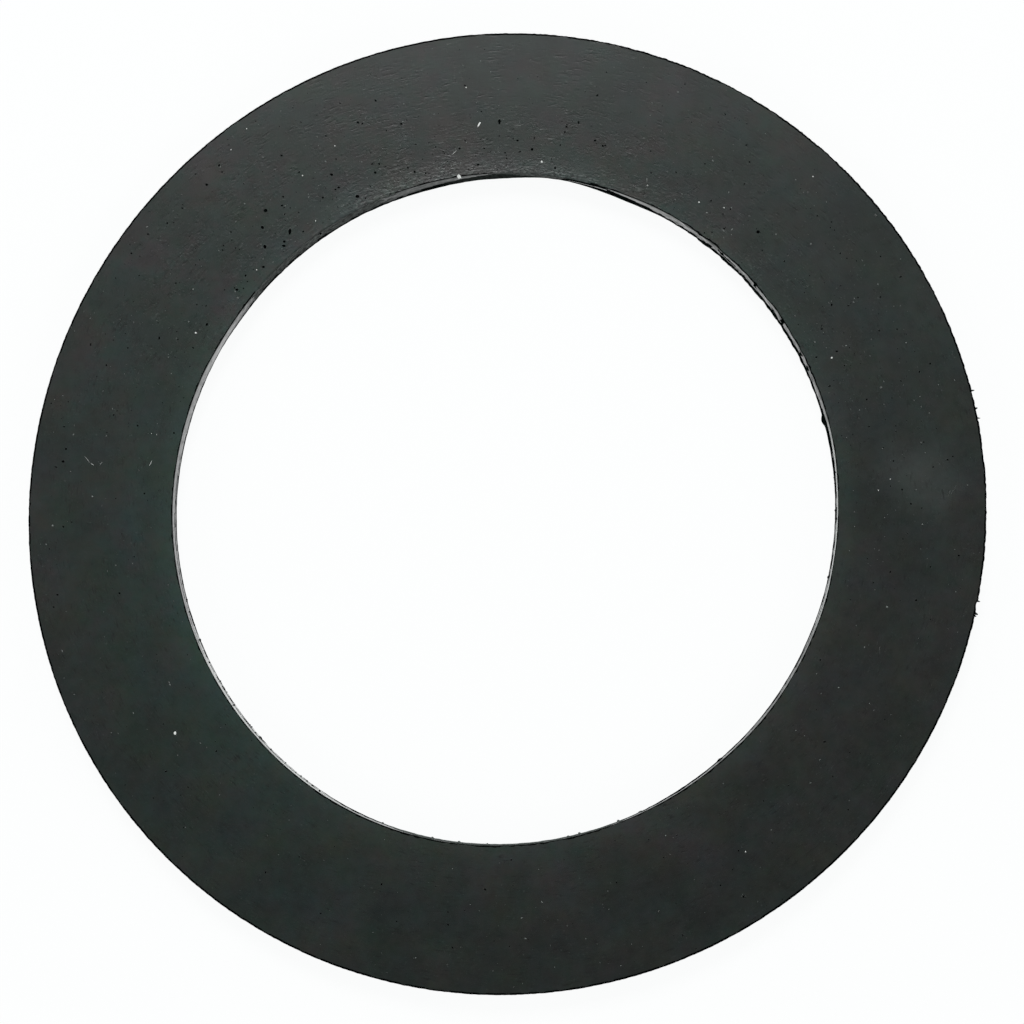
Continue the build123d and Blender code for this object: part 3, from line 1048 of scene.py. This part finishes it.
class GASKET_OT_pores(bpy.types.Operator):
    """Open small pores in the upper face, each with a raised lip"""

    bl_idname = "gasket.pores"
    bl_label = "Pores"

    def execute(self, context):
        marks = context.scene.gasket_marks
        finish = context.scene.gasket_finish
        rng = np.random.default_rng(marks.seed + 1)
        crowds = [(125, 18, 12.0), (98, 18, 6.0), (55, 20, 11.0), (25, 14, 9.0), (150, 16, 12.0)]
        places, length, width, turn, around = listed_and_strewn(
            context.scene.gasket_studio, rng, PORES, marks.pore_count, crowds, share=0.6,
            finest=0.045, spread=0.1, longest=1.9,
        )
        turn[-len(around) :] = rng.uniform(0, 180, len(around))
        # A pore is a low crater: its foot is in the face, its lip just proud, and its floor black, which is
        # painted shade, for the floor lies hardly below the lip
        crater = [(0, -0.3), (0.7, -0.2), (0.66, 0.02), (0.57, 0.06), (0.5, 0.03), (0.3, 0.012), (0, 0.01)]
        sides = 9
        shape, faces = turned(crater, sides)
        black = np.arange(len(faces)) >= len(faces) - 5 * sides
        lengths = np.stack([length, width, width], axis=-1)
        points, all_faces = copies(shape, faces, places, flat_axes(turn), lengths)
        skins = [cut_face_rubber(finish), painted_shade_rubber(finish)]
        mesh_piece("face_pores", points, all_faces, skins, np.tile(black, len(places)))
        return {"FINISHED"}


class Burr(NamedTuple):
    """A burr on the bore's wall: its angle in degrees, and its height, length along it and depth in mm."""

    angle: float
    height: float
    along: float
    upright: float


BURRS = [
    Burr(*row)
    for row in (
        (357.9, 1.3, 0.16, 1.6), (359.6, 0.3, 0.24, 0.14), (5.3, 0.35, 0.16, 0.5), (6.0, 1.2, 0.16, 1.9),
        (10.4, 0.4, 0.22, 0.14), (193.0, 0.5, 0.3, 0.12), (195.9, 0.4, 0.22, 0.16), (198.6, 0.5, 0.14, 0.12),
        (200.5, 0.4, 0.14, 0.12), (203.2, 0.5, 0.24, 0.2), (211.2, 0.5, 0.2, 0.2), (212.6, 0.6, 0.6, 0.14),
        (216.0, 1.1, 0.15, 1.6), (220.3, 0.4, 0.16, 0.14), (223.2, 0.6, 0.45, 0.2), (229.2, 0.5, 0.14, 0.12),
        (232.7, 0.5, 0.2, 0.12), (236.9, 1.7, 0.22, 0.5), (248.8, 0.4, 0.2, 0.16), (257.6, 0.3, 0.24, 0.16),
        (262.2, 0.4, 0.3, 0.18), (267.0, 0.3, 0.2, 0.14), (280.9, 0.4, 0.3, 0.14), (282.9, 0.4, 0.3, 0.24),
        (289.9, 0.5, 0.3, 0.24), (294.0, 0.4, 0.5, 0.14), (310.4, 0.9, 0.8, 0.3), (339.8, 0.4, 0.3, 0.12),
        (347.9, 0.4, 0.36, 0.2),
    )
]


class Whisker(NamedTuple):
    """A whisker on the rim: its root and its tip in the photograph's pixels, and its radius in mm."""

    root_x: float
    root_y: float
    tip_x: float
    tip_y: float
    radius: float


# Heights of a whisker's root and tip above the underside
ROOT_HEIGHT = 1.8 * MM
TIP_HEIGHT = 1.9 * MM

WHISKERS = [
    Whisker(970.3, 390.2, 973.9, 389.8, 0.11),
    Whisker(974.2, 408.2, 977.0, 407.4, 0.14),
    Whisker(976.2, 417.5, 979.8, 417.8, 0.09),
    Whisker(976.2, 600.4, 979.6, 601.2, 0.11),
    Whisker(974.2, 612.8, 977.4, 614.2, 0.15),
    Whisker(973.4, 615.2, 975.8, 616.0, 0.11),
]


class GASKET_OT_burrs(bpy.types.Operator):
    """Leave beads of torn rubber along the bore's lower edge"""

    bl_idname = "gasket.burrs"
    bl_label = "Bore burrs"

    def execute(self, context):
        marks = context.scene.gasket_marks
        shape = context.scene.gasket_ring_shape
        finish = context.scene.gasket_finish
        rng = np.random.default_rng(marks.seed + 2)
        angle, height, along, upright = np.array(BURRS).T
        count = marks.burr_count
        low_left = rng.uniform(196, 244, count)
        right = rng.uniform(-65, 70, count)
        angle = np.concatenate([angle, np.where(rng.random(count) < 0.5, low_left, right)])
        height = np.concatenate([height, rng.uniform(0.2, 0.9, count)]) * MM
        along = np.concatenate([along, rng.uniform(0.08, 0.2, count)]) * MM
        upright = np.concatenate([upright, rng.uniform(0.08, 0.16, count)]) * MM
        stands_out = np.minimum(along, upright) * 0.6
        places = polar(angle, bore_edge(shape, angle) - stands_out * 0.1, height)
        inwards = -polar(angle, np.ones_like(angle), np.zeros_like(angle))
        bead, faces = turned([(0, -1), (0.35, -0.72), (0.5, 0), (0.33, 0.7), (0, 1)], sides=8)
        rough = 1 + 0.18 * rng.uniform(-1, 1, (len(bead), 1))
        lengths = np.stack([along, upright, stands_out], axis=-1)
        points, all_faces = copies(bead * rough, faces, places, outward_axes(inwards), lengths)
        mesh_piece("bore_burrs", points, all_faces, [torn_rubber_and_shade(finish)])
        return {"FINISHED"}


class GASKET_OT_whiskers(bpy.types.Operator):
    """Leave hair-thin whiskers of rubber on the rim"""

    bl_idname = "gasket.whiskers"
    bl_label = "Rim whiskers"

    def execute(self, context):
        studio = context.scene.gasket_studio
        root_x, root_y, tip_x, tip_y, radius = np.array(WHISKERS).T
        root = under_pixels(studio, root_x, root_y, ROOT_HEIGHT)
        tip = under_pixels(studio, tip_x, tip_y, TIP_HEIGHT)
        # A hair is a spindle that thins to its tip and bends upwards a little
        hair, faces = turned([(0, 0), (1, 0.02), (0.8, 0.35), (0.55, 0.65), (0.4, 0.9), (0, 1)], sides=7)
        lengths = np.stack([radius * MM, radius * MM, np.linalg.norm(tip - root, axis=-1)], axis=-1)
        bend = np.tile([0.0, 0.0, 0.08 * MM], (len(root), 1))
        points, all_faces = copies(hair, faces, root, outward_axes(tip - root), lengths, bend)
        mesh_piece("rim_whiskers", points, all_faces, [rim_rubber(context.scene.gasket_finish)])
        return {"FINISHED"}


# Studio


def softbox(name, azimuth, elevation, distance, size, share):
    """A square lamp that faces the origin and gives a share of the light that makes white card look white."""
    lamp = bpy.data.lights.new(name, "AREA")
    lamp.shape = "SQUARE"
    lamp.size = size
    slope = math.sin(math.radians(elevation))
    lamp.energy = share * LAMP_POWER * distance**2 / slope
    box = bpy.data.objects.new(name, lamp)
    direction = Vector(polar(azimuth, math.cos(math.radians(elevation)), slope))
    box.location = direction * distance
    box.rotation_euler = direction.to_track_quat("Z", "Y").to_euler()
    box.visible_camera = False
    bpy.context.scene.collection.objects.link(box)


# Watts that a lamp 1 m away, overhead, needs to make white card look white
LAMP_POWER = math.pi**2
# Half the card's side, and how far it lies under the ring
CARD_HALF = 1.5
CARD_GAP = 0.02 * MM


class GASKET_OT_studio(bpy.types.Operator):
    """Set up the white card, the softboxes, the pale surround and the camera"""

    bl_idname = "gasket.studio"
    bl_label = "Studio"

    def execute(self, context):
        studio = context.scene.gasket_studio
        card = bpy.data.meshes.new("white_card")
        signs = ((-1, -1), (1, -1), (1, 1), (-1, 1))
        card.from_pydata([(x * CARD_HALF, y * CARD_HALF, -CARD_GAP) for x, y in signs], [], [(0, 1, 2, 3)])
        card.materials.append(white_card(studio.floor))
        floor = bpy.data.objects.new("white_card", card)
        context.scene.collection.objects.link(floor)
        softbox("softbox_past_the_top_edge", 97, elevation=50, distance=0.6, size=0.22, share=studio.key)
        for side, azimuth in (("left", 185), ("right", 355), ("near", 275)):
            softbox(f"softbox_{side}", azimuth, elevation=28, distance=0.8, size=0.4, share=studio.fill)
        world = bpy.data.worlds.new("pale_surround")
        world.use_nodes = True
        tree = world.node_tree
        # Pale walls up to a dim ceiling, by the height of the direction looked in
        towards = add_node(tree, "TexCoord", out="Generated")
        height = add_node(tree, "SeparateXYZ", (towards,), out="Z")
        walls = (height, 0.2, 0.5, 1.0, studio.ceiling)
        bright = add_node(tree, "MapRange", walls, interpolation_type="SMOOTHSTEP")
        tree.links.new(bright, tree.nodes["Background"].inputs["Strength"])
        tree.nodes["Background"].inputs["Color"].default_value = rgba(studio.floor)
        context.scene.world = world
        camera = bpy.data.cameras.new("camera")
        camera.lens = studio.lens
        camera.shift_x = studio.shift_x
        camera.shift_y = studio.shift_y
        camera.clip_start = 0.01
        eye = bpy.data.objects.new("camera", camera)
        right, up, forward = camera_axes(studio.camera_place)
        turn = Matrix((right, up, -forward)).transposed()
        eye.matrix_world = Matrix.Translation(studio.camera_place) @ turn.to_4x4()
        context.scene.collection.objects.link(eye)
        context.scene.camera = eye
        context.scene.view_settings.view_transform = "Standard"
        return {"FINISHED"}


class GASKET_PT_panel(bpy.types.Panel):
    """Lists the gasket's pieces and its studio"""

    bl_idname = "GASKET_PT_panel"
    bl_label = "Inlet fitting gasket"
    bl_space_type = "VIEW_3D"
    bl_region_type = "UI"
    bl_category = "Gasket"

    def draw(self, context):
        for operator in OPERATORS:
            self.layout.operator(operator.bl_idname)


GROUPS = {
    "gasket_ring_shape": RingShape,
    "gasket_finish": RubberFinish,
    "gasket_marks": LooseMarks,
    "gasket_studio": Studio,
}
PIECES = (GASKET_OT_ring, GASKET_OT_grains, GASKET_OT_pores, GASKET_OT_burrs, GASKET_OT_whiskers)
OPERATORS = (*PIECES, GASKET_OT_studio)


def register():
    """Registers the classes, and hangs the groups on the scene."""
    for cls in (*GROUPS.values(), *OPERATORS, GASKET_PT_panel):
        bpy.utils.register_class(cls)
    for name, group in GROUPS.items():
        setattr(bpy.types.Scene, name, bpy.props.PointerProperty(type=group))


def unregister():
    """Takes the groups off the scene, and the classes out again."""
    for name in GROUPS:
        delattr(bpy.types.Scene, name)
    for cls in reversed((*GROUPS.values(), *OPERATORS, GASKET_PT_panel)):
        bpy.utils.unregister_class(cls)


def main():
    """Builds the whole gasket and its studio."""
    register()
    bpy.ops.gasket.ring()
    bpy.ops.gasket.grains()
    bpy.ops.gasket.pores()
    bpy.ops.gasket.burrs()
    bpy.ops.gasket.whiskers()
    bpy.ops.gasket.studio()


if __name__ == "__main__":
    main()
